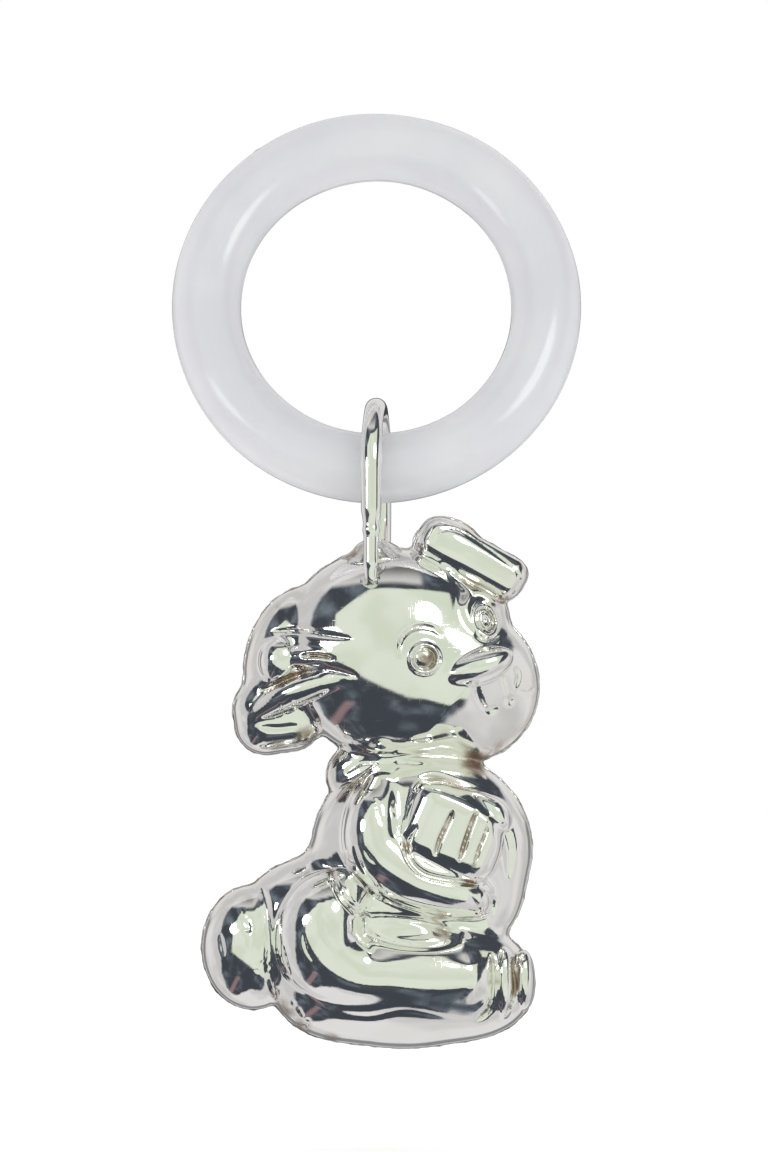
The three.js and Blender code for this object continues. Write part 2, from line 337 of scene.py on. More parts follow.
# Tarnish beyond what gathers in the grooves: centre (x, z), reach and strength.
STAINS = [
    ((5.2, -20.7), 1.2, 1.3),
    ((11.2, -15.4), 1.0, 0.6),
    ((-10.6, -15.3), 0.8, 0.7),
    ((-10.8, -30.2), 1.3, 0.8),
    ((-7.6, -29.6), 1.9, 1.0),
    ((-5.4, -31.4), 1.6, 0.9),
    ((10.8, -32.2), 2.2, 1.0),
    ((7.2, -50.4), 1.4, 0.9),
    ((-4.9, -43.6), 0.9, 0.9),
    ((6.2, -42.0), 0.6, 0.8),
    ((8.7, -42.4), 0.7, 0.8),
    ((10.4, -42.9), 0.6, 0.8),
    ((12.4, -55.6), 1.0, 0.7),
    ((12.3, -53.4), 1.2, 0.7),
    ((13.6, -30.8), 1.8, 0.8),
    ((-10.0, -58.8), 1.8, 0.9),
    ((-8.2, -61.0), 1.5, 1.1),
    ((-5.0, -62.5), 1.5, 1.1),
    ((-1.4, -63.2), 1.2, 0.9),
    ((5.4, -63.0), 1.3, 0.7),
]

# Pitted patches left by the casting: centre (x, z), reach and how many.
PITS = [((-14.0, -49.8), 0.9, 16), ((-12.3, -53.6), 1.1, 20), ((-8.0, -60.0), 1.6, 14)]


class Relief:
    """Engraved lines, rings and dimples seen square on, kept as depths on a fine grid."""

    STEP = 0.06  # millimetres

    def __init__(self):
        self.x = np.arange(WIDTH[0], WIDTH[1] + 0.5, self.STEP)
        self.z = np.arange(HEIGHT[0], HEIGHT[1] + 0.5, self.STEP)
        self.depth = np.zeros((len(self.x), len(self.z)))

    def window(self, low, high):
        """The part of the grid between two corners, with its places across and up."""
        i = slice(np.searchsorted(self.x, low[0]), np.searchsorted(self.x, high[0]))
        k = slice(np.searchsorted(self.z, low[1]), np.searchsorted(self.z, high[1]))
        return i, k, self.x[i][:, None], self.z[k][None, :]

    def line(self, points, half_width, depth, fade):
        """A groove along a line, deepest where the line is, thinning out at both ends."""
        path = smooth_path(points)
        reach = 3 * half_width
        i, k, x, z = self.window(path.min(0) - reach, path.max(0) + reach)
        best = np.full((x.shape[0], z.shape[1]), 1e9)
        share = np.zeros_like(best)
        for n, ((ax, az), (bx, bz)) in enumerate(zip(path, path[1:])):
            dx, dz = bx - ax, bz - az
            t = np.clip(((x - ax) * dx + (z - az) * dz) / max(dx * dx + dz * dz, 1e-9), 0, 1)
            far = (x - ax - t * dx) ** 2 + (z - az - t * dz) ** 2
            closer = far < best
            best = np.where(closer, far, best)
            share = np.where(closer, (n + t) / (len(path) - 1), share)
        ends = np.clip(np.minimum(share, 1 - share) / fade, 0, 1)
        ends = np.sqrt(np.sin(ends * math.pi / 2))
        cut = depth * ends * np.exp(-best / (half_width * np.maximum(ends, 0.3)) ** 2)
        part = self.depth[i, k]
        self.depth[i, k] = np.where(abs(cut) > abs(part), cut, part) if depth > 0 else part + cut

    def ring(self, centre, half, width, depth, tilt=0):
        """An oval groove, or a raised rim where depth is negative. half = (0, 0) is a dimple."""
        reach = max(half) + 3 * width
        centre = np.array(centre, float)
        i, k, x, z = self.window(centre - reach, centre + reach)
        u, w = turned(x, z, centre, tilt)
        if max(half) > 0:
            near = np.sqrt((u / half[0]) ** 2 + (w / half[1]) ** 2)
            far = (near - 1) * min(half)
        else:
            far = np.hypot(u, w)
        self.depth[i, k] += depth * np.exp(-((far / width) ** 2))

    def pits(self, centre, reach, count):
        """Small dimples scattered about a centre."""
        random = np.random.default_rng(int(abs(centre[0]) * 10))
        for _ in range(count):
            spot = np.array(centre) + random.normal(0, reach / 2, 2)
            self.ring(spot, (0, 0), random.uniform(0.1, 0.2), random.uniform(0.06, 0.14))

    def __call__(self, x, z):
        """The depth at any places, read between the four grid points round each."""
        i = np.clip((x - self.x[0]) / self.STEP, 0, len(self.x) - 1.001)
        k = np.clip((z - self.z[0]) / self.STEP, 0, len(self.z) - 1.001)
        i0, k0 = i.astype(int), k.astype(int)
        u, v = i - i0, k - k0
        d = self.depth
        return (
            d[i0, k0] * (1 - u) * (1 - v)
            + d[i0 + 1, k0] * u * (1 - v)
            + d[i0, k0 + 1] * (1 - u) * v
            + d[i0 + 1, k0 + 1] * u * v
        )


FRONT_RELIEF = Relief()
BACK_RELIEF = Relief()
for line in LINES + FRONT_LINES:
    FRONT_RELIEF.line(*line)
for line in LINES + BACK_LINES:
    BACK_RELIEF.line(*line)
for oval in FRONT_OVALS:
    FRONT_RELIEF.ring(*oval)
for relief in (FRONT_RELIEF, BACK_RELIEF):
    for patch in PITS:
        relief.pits(*patch)


def mirrored(lump):
    """The same lump on the back."""
    return lambda x, y, z: lump(x, -y, z)


def lumps():
    """Every lump with its bounds and blend, the raised work stopping short of the seam."""
    for lump in CORE:
        yield lump, lump.box(), lump.blend
    for lump in LIMBS + FACE:
        yield front_only(lump), lump.box(), lump.blend
    for lump in LIMBS:
        low, high = lump.box()[1]
        bounds = [lump.box()[0], (-high, -low), lump.box()[2]]
        yield mirrored(front_only(lump)), bounds, lump.blend


def front_only(lump):
    """The part of a lump that is in front of the seam by half a millimetre or more."""
    return lambda x, y, z: np.maximum(lump(x, y, z), y + 0.5)


FAR = 4.0  # the field's value where no lump is near
MARGIN = 2.5  # a lump is worked out to this far past its bounds


def body_field(x, y, z):
    """The puppy's distance field at points given as three equal arrays."""
    field = np.full(x.shape, FAR, np.float32)
    for lump, bounds, blend in lumps():
        near = np.ones(x.shape, bool)
        for p, (low, high) in zip((x, y, z), bounds):
            near &= (p > low - MARGIN) & (p < high + MARGIN)
        if near.any():
            here = lump(x[near], y[near], z[near])
            field[near] = smooth_min(field[near], here, blend)
    front = y < 0
    field[front] += FRONT_RELIEF(x[front], z[front]) * off_seam(y[front])
    field[~front] += BACK_RELIEF(x[~front], z[~front]) * off_seam(y[~front])
    return field


def off_seam(y):
    """How much of the engraving is left at y: none at the seam, all of it from 1.6 mm away."""
    t = np.clip((abs(y) - 0.4) / 1.2, 0, 1)
    return t * t * (3 - 2 * t)


def body_grid(xs, ys, zs):
    """The same field on a whole grid, each lump only where it can matter."""
    field = np.full((len(xs), len(ys), len(zs)), FAR, np.float32)
    for lump, bounds, blend in lumps():
        part = tuple(
            slice(np.searchsorted(v, low - MARGIN), np.searchsorted(v, high + MARGIN))
            for v, (low, high) in zip((xs, ys, zs), bounds)
        )
        here = lump(xs[part[0]][:, None, None], ys[part[1]][None, :, None], zs[part[2]][None, None, :])
        field[part] = smooth_min(field[part], here, blend)
    for rows, relief in ((ys < 0, FRONT_RELIEF), (ys > 0, BACK_RELIEF)):
        flat = relief(*np.meshgrid(xs, zs, indexing="ij"))
        field[:, rows] += flat[:, None, :] * off_seam(ys[rows])[None, :, None]
    return field


# ---------------------------------------------------------------- meshing

CORNERS = [(i, j, k) for i in (0, 1) for j in (0, 1) for k in (0, 1)]
EDGES = [
    (a, b)
    for a in CORNERS
    for b in CORNERS
    if a < b and sum(abs(p - q) for p, q in zip(a, b)) == 1
]


def net(field, start, step):
    """One vertex in each cell that the surface crosses, and a quad for each grid edge that it cuts."""
    inside = field < 0
    n = np.array(field.shape) - 1
    count = sum(inside[i : n[0] + i, j : n[1] + j, k : n[2] + k].astype(np.int8) for i, j, k in CORNERS)
    active = (count > 0) & (count < 8)
    cells = np.argwhere(active)
    number = np.full(active.shape, -1, np.int32)
    number[active] = np.arange(len(cells))
    total = np.zeros((len(cells), 3))
    hits = np.zeros(len(cells))
    for a, b in EDGES:
        fa = field[tuple((cells + a).T)]
        fb = field[tuple((cells + b).T)]
        cut = (fa < 0) != (fb < 0)
        t = np.where(cut, fa / np.where(cut, fa - fb, 1), 0)
        total[cut] += (np.array(a) + t[:, None] * (np.array(b) - np.array(a)))[cut]
        hits += cut
    points = np.array(start) + step * (cells + total / hits[:, None])
    quads = []
    for axis in range(3):
        u, v = (axis + 1) % 3, (axis + 2) % 3
        ahead = np.roll(inside, -1, axis)
        cut = inside != ahead
        keep = [slice(1, -1)] * 3
        keep[axis] = slice(0, -1)
        at = np.argwhere(cut[tuple(keep)]) + [0 if i == axis else 1 for i in range(3)]
        around = []
        for du, dv in ((-1, -1), (0, -1), (0, 0), (-1, 0)):
            cell = at.copy()
            cell[:, u] += du
            cell[:, v] += dv
            around.append(number[tuple(cell.T)])
        quad = np.stack(around, 1)
        outward = inside[tuple(at.T)]
        quads.append(np.where(outward[:, None], quad, quad[:, ::-1]))
    return points, np.concatenate(quads), cells


def gradient(function, p, reach=0.04):
    """Slope of the field by four samples on a tetrahedron."""
    total = np.zeros_like(p)
    for corner in ((1, -1, -1), (-1, -1, 1), (-1, 1, -1), (1, 1, 1)):
        k = np.array(corner, float)
        q = p + k * reach
        total += k * function(q[:, 0], q[:, 1], q[:, 2])[:, None]
    return total / (4 * reach)


def make_object(name, points, faces, material):
    """A smooth mesh object from points in millimetres from the hinge."""
    mesh = bpy.data.meshes.new(name)
    faces = faces.tolist() if isinstance(faces, np.ndarray) else faces
    mesh.from_pydata((np.asarray(points) * MM + np.array(HINGE)).tolist(), [], faces)
    mesh.validate()
    mesh.polygons.foreach_set("use_smooth", [True] * len(mesh.polygons))
    mesh.materials.append(material)
    thing = bpy.data.objects.new(name, mesh)
    bpy.context.scene.collection.objects.link(thing)
    return thing


# ---------------------------------------------------------------- node helpers

class Graph:
    """Short names for making shader nodes. Values may be numbers, colours or sockets."""

    def __init__(self, tree):
        self.tree = tree

    def node(self, kind, inputs=(), **settings):
        made = self.tree.nodes.new(kind)
        for name, value in settings.items():
            setattr(made, name, value)
        for name, value in dict(inputs).items():
            self.put(made.inputs[name], value)
        return made

    def put(self, socket, value):
        if isinstance(value, bpy.types.NodeSocket):
            self.tree.links.new(value, socket)
        else:
            socket.default_value = value

    def math(self, operation, *values):
        return self.node("ShaderNodeMath", dict(enumerate(values)), operation=operation).outputs[0]

    def step(self, value, low, high):
        """0 below low and 1 above high, or the other way round, smooth between."""
        inputs = {"Value": value, "From Min": low, "From Max": high}
        return self.node("ShaderNodeMapRange", inputs, interpolation_type="SMOOTHSTEP").outputs["Result"]

    def mix(self, share, a, b):
        made = self.node("ShaderNodeMix", data_type="RGBA")
        self.put(made.inputs[0], share)
        self.put(made.inputs[6], a)
        self.put(made.inputs[7], b)
        return made.outputs[2]

    def noise(self, vector, scale, detail=2.0, roughness=0.5):
        inputs = {"Vector": vector, "Scale": scale, "Detail": detail, "Roughness": roughness}
        return self.node("ShaderNodeTexNoise", inputs).outputs["Fac"]

    def stretched(self, vector, scale, turn):
        return self.node("ShaderNodeMapping", {"Vector": vector, "Scale": scale, "Rotation": turn}).outputs[0]

    def bump(self, height, distance, normal=None):
        inputs = {"Height": height, "Distance": distance, "Strength": 1.0}
        if normal is not None:
            inputs["Normal"] = normal
        return self.node("ShaderNodeBump", inputs).outputs[0]


def new_material(name):
    """A material with its graph and its shader."""
    material = bpy.data.materials.new(name)
    material.use_nodes = True
    return material, Graph(material.node_tree), material.node_tree.nodes["Principled BSDF"]


# ---------------------------------------------------------------- materials

def silver_material():
    """Polished silver: mirror bright, finely scratched, warmer near the seam, and brown in patches where the
    crease attribute is high."""
    material, g, shader = new_material("polished_silver")
    place = g.node("ShaderNodeTexCoord").outputs["Object"]
    crease = g.node("ShaderNodeAttribute", attribute_name="crease").outputs["Fac"]
    patches = g.noise(place, 420, 4.0, 0.6)
    patches = g.math("MULTIPLY_ADD", crease, 0.25, patches)
    stain = g.math("MULTIPLY", g.step(crease, 0.35, 0.95), g.step(patches, 0.50, 0.78))
    cloud = g.step(g.noise(place, 160, 3.0), 0.35, 0.75)
    bright = g.mix(cloud, (0.955, 0.945, 0.93, 1), (0.92, 0.905, 0.885, 1))
    depth = g.node("ShaderNodeSeparateXYZ", {0: place}).outputs["Y"]
    edge = g.step(g.math("ABSOLUTE", g.math("SUBTRACT", depth, HINGE.y)), 3.4 * MM, 0.0)
    warm = g.math("MULTIPLY", edge, g.step(g.noise(place, 260, 3.0), 0.42, 0.62))
    bright = g.mix(g.math("MULTIPLY", warm, 0.6), bright, (0.86, 0.75, 0.68, 1))
    tarnish = (0.30, 0.19, 0.12, 1)
    g.put(shader.inputs["Base Color"], g.mix(g.math("MULTIPLY", stain, 0.8), bright, tarnish))
    shader.inputs["Metallic"].default_value = 1.0
    scratch_a = g.noise(g.stretched(place, (9000, 900, 300), (0, 0.5, 0.2)), 1.0, 3.0)
    scratch_b = g.noise(g.stretched(place, (400, 900, 9000), (0, -0.4, 0.1)), 1.0, 3.0)
    scratches = g.math("MAXIMUM", g.step(scratch_a, 0.62, 0.75), g.step(scratch_b, 0.64, 0.76))
    rough = g.math("MULTIPLY_ADD", scratches, 0.06, g.math("MULTIPLY_ADD", cloud, 0.035, 0.045))
    g.put(shader.inputs["Roughness"], g.math("MULTIPLY_ADD", stain, 0.3, rough))
    ripple = g.bump(g.noise(place, 230, 1.0), 0.00006)
    g.put(shader.inputs["Normal"], g.bump(scratches, 0.0000012, ripple))
    return material


def ring_material():
    """Translucent white plastic with a soft moulded gloss."""
    material, g, shader = new_material("ring_plastic")
    place = g.node("ShaderNodeTexCoord").outputs["Object"]
    cloud = g.step(g.noise(place, 90, 3.0), 0.3, 0.7)
    g.put(shader.inputs["Base Color"], g.mix(cloud, (0.67, 0.67, 0.70, 1), (0.72, 0.72, 0.74, 1)))
    shader.inputs["Subsurface Weight"].default_value = 0.5
    shader.inputs["Subsurface Radius"].default_value = (1.0, 1.0, 1.05)
    shader.inputs["Subsurface Scale"].default_value = 0.003
    wear = g.noise(place, 900, 4.0, 0.6)
    g.put(shader.inputs["Roughness"], g.math("MULTIPLY_ADD", wear, 0.12, 0.10))
    dents = g.bump(g.noise(place, 300, 2.0), 0.00003)
    g.put(shader.inputs["Normal"], g.bump(wear, 0.000004, dents))
    return material


def solder_material():
    """Silver solder, filed but not polished: greyer, pitted and stained brown in patches."""
    material, g, shader = new_material("silver_solder")
    place = g.node("ShaderNodeTexCoord").outputs["Object"]
    patches = g.noise(place, 300, 5.0, 0.65)
    stain = g.step(patches, 0.46, 0.66)
    clean = g.mix(g.noise(place, 1500, 3.0), (0.70, 0.68, 0.65, 1), (0.93, 0.92, 0.90, 1))
    tarnish = (0.24, 0.15, 0.10, 1)
    g.put(shader.inputs["Base Color"], g.mix(g.math("MULTIPLY", stain, 0.75), clean, tarnish))
    shader.inputs["Metallic"].default_value = 1.0
    grain = g.noise(place, 2600, 5.0, 0.7)
    filed = g.math("MULTIPLY_ADD", grain, 0.15, 0.1)
    g.put(shader.inputs["Roughness"], g.math("MULTIPLY_ADD", stain, 0.2, filed))
    lumps = g.bump(g.noise(place, 700, 3.0), 0.00012)
    g.put(shader.inputs["Normal"], g.bump(grain, 0.00002, lumps))
    return material


def shot_material():
    """Dull cast steel with a dimpled skin and specks of rust."""
    material, g, shader = new_material("steel_shot")
    place = g.node("ShaderNodeTexCoord").outputs["Object"]
    rust = g.step(g.noise(place, 1300, 5.0, 0.6), 0.56, 0.68)
    steel = g.mix(g.noise(place, 500, 3.0), (0.33, 0.33, 0.34, 1), (0.52, 0.52, 0.53, 1))
    g.put(shader.inputs["Base Color"], g.mix(rust, steel, (0.19, 0.08, 0.035, 1)))
    g.put(shader.inputs["Metallic"], g.math("MULTIPLY_ADD", rust, -0.7, 1.0))
    skin = g.noise(place, 3800, 4.0, 0.6)
    dull = g.math("MULTIPLY_ADD", rust, 0.3, 0.2)
    g.put(shader.inputs["Roughness"], g.math("MULTIPLY_ADD", skin, 0.3, dull))
    g.put(shader.inputs["Normal"], g.bump(skin, 0.00003))
    return material


SILVER = silver_material()
PLASTIC = ring_material()
SOLDER = solder_material()
STEEL = shot_material()


# ---------------------------------------------------------------- the puppy's two halves

CREASE_REACH = 0.7  # millimetres out from the surface to where a crease is felt


def puppy_surface():
    """The whole closed surface, with a row of points exactly on the seam. Returns its points, its quads,
    each point's row counted from the seam, its normal and how much it gathers tarnish."""
    xs = np.arange(*WIDTH, VOXEL, dtype=np.float32)
    zs = np.arange(*HEIGHT, VOXEL, dtype=np.float32)
    rows = 2 * int(DEPTH / VOXEL)
    ys = ((np.arange(rows) - (rows - 1) / 2) * VOXEL).astype(np.float32)
    field = body_grid(xs, ys, zs)
    points, quads, cells = net(field, (xs[0], ys[0], zs[0]), VOXEL)
    on_seam = cells[:, 1] == rows // 2 - 1
    points[on_seam, 1] = 0
    for _ in range(3):
        slope = gradient(body_field, points)
        slope[on_seam, 1] = 0
        steep = np.maximum((slope**2).sum(1), 0.2)
        move = (body_field(*points.T) / steep)[:, None] * slope
        points -= np.clip(move, -VOXEL, VOXEL)
    normal = slope / np.linalg.norm(slope, axis=1)[:, None]
    feeler = points + normal * CREASE_REACH
    crease = np.clip(1 - body_field(*feeler.T) / CREASE_REACH, 0, 1)
    for centre, reach, strength in STAINS:
        far = (points[:, 0] - centre[0]) ** 2 + (points[:, 2] - centre[1]) ** 2
        crease = np.maximum(crease, strength * np.exp(-far / reach**2))
    return points, quads, cells[:, 1] - (rows // 2 - 1), normal, crease


def coarser(points, faces, keep, cell=0.6):
    """Merges the points in each small cube, apart from those to keep, and drops the faces that close up.
    Returns the new points, the new faces and where each old point went."""
    place = np.floor(points / cell).astype(np.int64)
    beyond = 100000  # past the number of any cube, so that each point to keep has a cube of its own
    place[keep, 0] = beyond + np.arange(keep.sum())
    _, moved, times = np.unique(place, axis=0, return_inverse=True, return_counts=True)
    moved = moved.reshape(-1)
    middle = np.stack([np.bincount(moved, points[:, i]) for i in range(3)], 1) / times[:, None]
    whole = moved[faces]
    same = whole == np.roll(whole, -1, 1)
    whole = whole[same.sum(1) < 2]
    _, first = np.unique(np.sort(whole, 1), axis=0, return_index=True)
    kept = []
    for face in whole[first].tolist():
        face = [a for a, b in zip(face, face[1:] + face[:1]) if a != b]
        if len(set(face)) == len(face) > 2:
            kept.append(face)
    return middle, kept, moved


def half_shell(name, surface, side, material):
    """One stamped half as sheet silver: the outer face, an inner face and the rim on the seam."""
    points, quads, row, normal, crease = surface
    mine = quads[(row[quads] * side >= 0).all(1)]
    used, faces = np.unique(mine, return_inverse=True)
    faces = faces.reshape(-1, 4)
    outer = points[used].copy()
    rim = row[used] == 0
    inner = outer - normal[used] * SHEET
    outer[rim, 1] = side * SEAM_HALF
    inner[rim, 1] = side * SEAM_HALF
    count = len(used)
    inner, lining, moved = coarser(inner, faces[:, ::-1], rim)
    edges = np.concatenate([faces[:, [i, (i + 1) % 4]] for i in range(4)])
    edges = edges[rim[edges].all(1)]
    key = np.sort(edges, 1)
    _, first, times = np.unique(key, axis=0, return_index=True, return_counts=True)
    border = edges[first[times == 1]]
    near, far = border[:, 0], border[:, 1]
    wall = np.stack([far, near, moved[near] + count, moved[far] + count], 1)
    everything = faces.tolist() + [[i + count for i in face] for face in lining] + wall.tolist()
    thing = make_object(name, np.concatenate([outer, inner]), everything, material)
    stain = np.zeros(len(outer) + len(inner), np.float32)
    stain[:count] = crease[used]
    attribute = thing.data.attributes.new("crease", "FLOAT", "POINT")
    attribute.data.foreach_set("value", stain)
    return thing


surface = puppy_surface()
front = half_shell("puppy_front_half", surface, -1, SILVER)
back = half_shell("puppy_back_half", surface, 1, SILVER)
for piece, node in ((front, "front_shell"), (back, "back_shell")):
    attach(piece, "puppy")
    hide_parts(node)

# ---------------------------------------------------------------- bail and solder

def swept(name, path, radii, across, material, sides=40):
    """A round bar along a flat path; across is the direction square to the path's plane."""
    path, radii = np.array(path, float), np.array(radii, float)
    along = np.gradient(path, axis=0)
    along /= np.linalg.norm(along, axis=1)[:, None]
    side = np.cross(along, across)
    angles = np.arange(sides) * 2 * math.pi / sides
    rings = (
        path[:, None, :]
        + radii[:, None, None] * np.cos(angles)[None, :, None] * np.array(across)
        + radii[:, None, None] * np.sin(angles)[None, :, None] * side[:, None, :]
    )
    points = np.concatenate([rings.reshape(-1, 3), path[:1], path[-1:]])
    faces = []
    for i in range(len(path) - 1):
        for j in range(sides):
            k = (j + 1) % sides
            faces.append([i * sides + j, i * sides + k, (i + 1) * sides + k, (i + 1) * sides + j])
    start, end = len(points) - 2, len(points) - 1
    last = (len(path) - 1) * sides
    for j in range(sides):
        k = (j + 1) % sides
        faces.append([start, k, j])
        faces.append([end, last + j, last + k])
    return make_object(name, points, faces, material)


BAIL_ACROSS = np.array([math.cos(BAIL_TWIST), math.sin(BAIL_TWIST), 0])
BAIL_FRONT = np.array([math.sin(BAIL_TWIST), -math.cos(BAIL_TWIST), 0])

# The leg from the solder up to the level of the hinge: height, reach from the middle, radius.
FRONT_LEG = [
    (-12.75, 6.30, 0.20),
    (-12.60, 6.32, 0.48),
    (-12.2, 6.34, 0.66),
    (-10.9, 6.36, 0.72),
    (-10.45, 6.36, 0.88),
    (-10.0, 6.36, 0.80),
    (-7.4, 6.30, 0.82),
    (-6.9, 6.30, 0.98),
    (-6.4, 6.28, 0.86),
    (-5.6, 6.26, 0.94),
    (-4.8, 6.24, 1.10),
    (0.0, 6.20, WIRE_RADIUS),
]
BACK_LEG = [
    (-12.3, 6.2, 0.3),
    (-12.1, 6.2, 0.85),
    (-11.0, 6.2, 1.05),
    (-6.0, 6.2, 1.1),
    (0.0, 6.2, WIRE_RADIUS),
]


def leg(rows, sign):
    """Path and radii of one leg of the bail. Its radius is smoothed, apart from the rounded end."""
    heights = np.linspace(rows[0][0], 0, 100)
    reach, radius = (np.interp(heights, [r[0] for r in rows], [r[i] for r in rows]) for i in (1, 2))
    smooth = np.convolve(np.pad(radius, 2, "edge"), np.ones(5) / 5, "valid")
    radius = np.where(heights < rows[1][0], radius, smooth)
    return [(*(sign * BAIL_FRONT[:2] * r), h) for r, h in zip(reach, heights)], list(radius)


front_path, front_radii = leg(FRONT_LEG, 1)
back_path, back_radii = leg(BACK_LEG, -1)
ARCH_RISE = 0.25  # how much higher the arch is than a half circle
UNEVEN_WIRE = 0.025  # how much the bent wire's radius varies, as a share
turns = np.linspace(0, math.pi, 90)[1:-1]
arch = [
    (
        *(BAIL_FRONT[:2] * BAIL_RADIUS * math.cos(t)),
        (BAIL_RADIUS + ARCH_RISE * math.sin(t) ** 2) * math.sin(t),
    )
    for t in turns
]
arch_radii = [WIRE_RADIUS * (1 + UNEVEN_WIRE * math.sin(5 * t)) for t in turns]
bail_path = front_path + arch + back_path[::-1]
bail_radii = front_radii + arch_radii + back_radii[::-1]
bail = swept("bail", bail_path, bail_radii, BAIL_ACROSS, SILVER)


def cast(name, function, low, high, step, material):
    """A mesh of any distance field inside a box."""
    xs, ys, zs = (np.arange(a, b, step, dtype=np.float32) for a, b in zip(low, high))
    grid = np.meshgrid(xs, ys, zs, indexing="ij")
    points, quads, _ = net(function(*grid), (xs[0], ys[0], zs[0]), step)
    for _ in range(2):
        slope = gradient(function, points, 0.03)
        steep = np.maximum((slope**2).sum(1), 0.2)
        points -= np.clip((function(*points.T) / steep)[:, None] * slope, -step, step)
    return make_object(name, points, quads, material)


def along_leg(rows, sign):
    """One leg of the bail as a distance field, for the solder to be drawn up to."""
    return Roll([(*(sign * BAIL_FRONT[:2] * reach), height, radius) for height, reach, radius in rows])


SOLDER_INWARDS = 0.38  # how far solder goes into the sheet, which is less than the sheet's thickness


def fillet(name, other, centre, size, blend, step=0.16):
    """Solder drawn up between the head and another piece, kept inside a ball and out of the hollow."""
    centre = np.array(centre, float)

    def field(x, y, z):
        body = body_field(x, y, z)
        joined = smooth_min(body, other(x, y, z), blend)
        wobble = 0.05 * np.sin(2.3 * x + 1.1) * np.sin(1.9 * z) + 0.03 * np.sin(4.1 * y + 2.2 * x)
        ball = np.sqrt((x - centre[0]) ** 2 + (y - centre[1]) ** 2 + (z - centre[2]) ** 2) - size
        return np.maximum(np.maximum(joined + 0.04 + wobble, ball), -SOLDER_INWARDS - body)

    return cast(name, field, centre - size - 0.5, centre + size + 0.5, step, SOLDER)


front_leg = along_leg(FRONT_LEG, 1)
back_leg = along_leg(BACK_LEG, -1)
bridge = Puff((-0.3, 0, -9.0), (1.5, 3.6, 0.95))
front_foot = (BAIL_FRONT[0] * 6.3, -5.6, -11.6)
back_foot = (-BAIL_FRONT[0] * 6.2, 5.6, -11.4)
solders = {
    "solder_front": fillet("solder_front_drop", front_leg, front_foot, 1.6, 0.7),
    "solder_back": fillet("solder_back_drop", back_leg, back_foot, 2.3, 2.2),
    "solder_saddle": fillet("solder_crown_bridge", bridge, (-0.3, 0, -9.6), 4.4, 2.6),
}

BEAD_RADIUS = 0.22
BEAD_SINK = 0.09  # how far the middle of the bead lies inside the outline


def seam_bead(x, y, z):
    """The solder line that shows between the halves, a little uneven."""
    edge = body_field(x, np.zeros_like(x), z)
    uneven = np.sin(2.1 * x + 1.3 * z) * np.sin(1.7 * z - 0.6 * x) + 0.6 * np.sin(5.3 * x) * np.sin(4.7 * z)
    return np.sqrt((edge + BEAD_SINK) ** 2 + (y / 1.1) ** 2) - BEAD_RADIUS - 0.05 * uneven


seam_low = (WIDTH[0], -0.85, HEIGHT[0])
seam_high = (WIDTH[1], 0.85, HEIGHT[1])
solders["solder_seam"] = cast("seam_solder_line", seam_bead, seam_low, seam_high, 0.19, SOLDER)

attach(bail, "puppy")
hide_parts("bail_wire")
for node, piece in solders.items():
    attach(piece, "puppy")
    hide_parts(node)


# ---------------------------------------------------------------- ring and shot

def teething_ring():
    """The moulded ring, with the faint line where the mould closed and the nub of its gate."""
    around, sides = 420, 110
    gate_at = 2.2  # radians round the ring from its right end
    theta = np.arange(around)[:, None] * 2 * math.pi / around
    phi = np.arange(sides)[None, :] * 2 * math.pi / sides
    line = np.exp(-((np.sin(phi) / 0.035) ** 2)) * 0.05
    gate_turn = np.angle(np.exp(1j * (theta - gate_at)))
    gate = 0.22 * np.exp(-((gate_turn / 0.03) ** 2) - ((np.angle(np.exp(1j * phi)) / 0.16) ** 2))
    uneven = 0.03 * np.sin(3 * theta + 0.7) + 0.02 * np.sin(7 * theta + 2 * phi)
    tube = TUBE_RADIUS + line + gate + uneven
    out = RING_RADIUS + tube * np.cos(phi)
    thick = tube * np.sin(phi)
    up = np.array([0, math.sin(RING_LEAN), math.cos(RING_LEAN)])
    axis = np.array([0, -math.cos(RING_LEAN), math.sin(RING_LEAN)])
    across = np.array([1.0, 0, 0])
    points = (
        -np.array(HINGE) / MM / 2
        + (out * np.cos(theta))[..., None] * across
        + (out * np.sin(theta))[..., None] * up
        + thick[..., None] * axis
    ).reshape(-1, 3)
    i, j = np.meshgrid(np.arange(around), np.arange(sides), indexing="ij")
    i2, j2 = (i + 1) % around, (j + 1) % sides
    faces = np.stack([i * sides + j, i2 * sides + j, i2 * sides + j2, i * sides + j2], -1).reshape(-1, 4)
    return make_object("moulded_ring", points, faces, PLASTIC)


ring = teething_ring()
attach(ring, "ring")
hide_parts("teething_ring")


def steel_ball(name, centre, radius, seed):
    """Cast shot: nearly round, dimpled, with a flat where the sprue was nipped off."""
    sphere = bmesh.new()
    bmesh.ops.create_icosphere(sphere, subdivisions=5, radius=1.0)
    random = np.random.default_rng(seed)
    count = 26  # dimples
    spots = random.normal(size=(count, 3))
    spots /= np.linalg.norm(spots, axis=1)[:, None]
    depths = random.uniform(0.01, 0.03, count)
    for vert in sphere.verts:
        way = np.array(vert.co)
        near = spots @ way
        dimples = (depths * np.exp(-(1 - near) / 0.012)).sum()
        size = radius * (1 - dimples)
        flat = 0.955 * radius / max(spots[0] @ way, 0.2)
        vert.co = Vector(way * min(size, flat))
    faces = [[v.index for v in face.verts] for face in sphere.faces]
    points = np.array([v.co for v in sphere.verts]) + centre
    sphere.free()
    return make_object(name, points, faces, STEEL)


for number in range(1, 6):
    low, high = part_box(f"pellet_{number}")
    middle = np.array(((low + high) / 2 - HINGE) / MM)
    ball = steel_ball(f"steel_ball_{number}", middle, (high.x - low.x) / 2 / MM, number)
    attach(ball, f"shot_{number}")
    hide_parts(f"pellet_{number}")


# ---------------------------------------------------------------- camera, floor and light

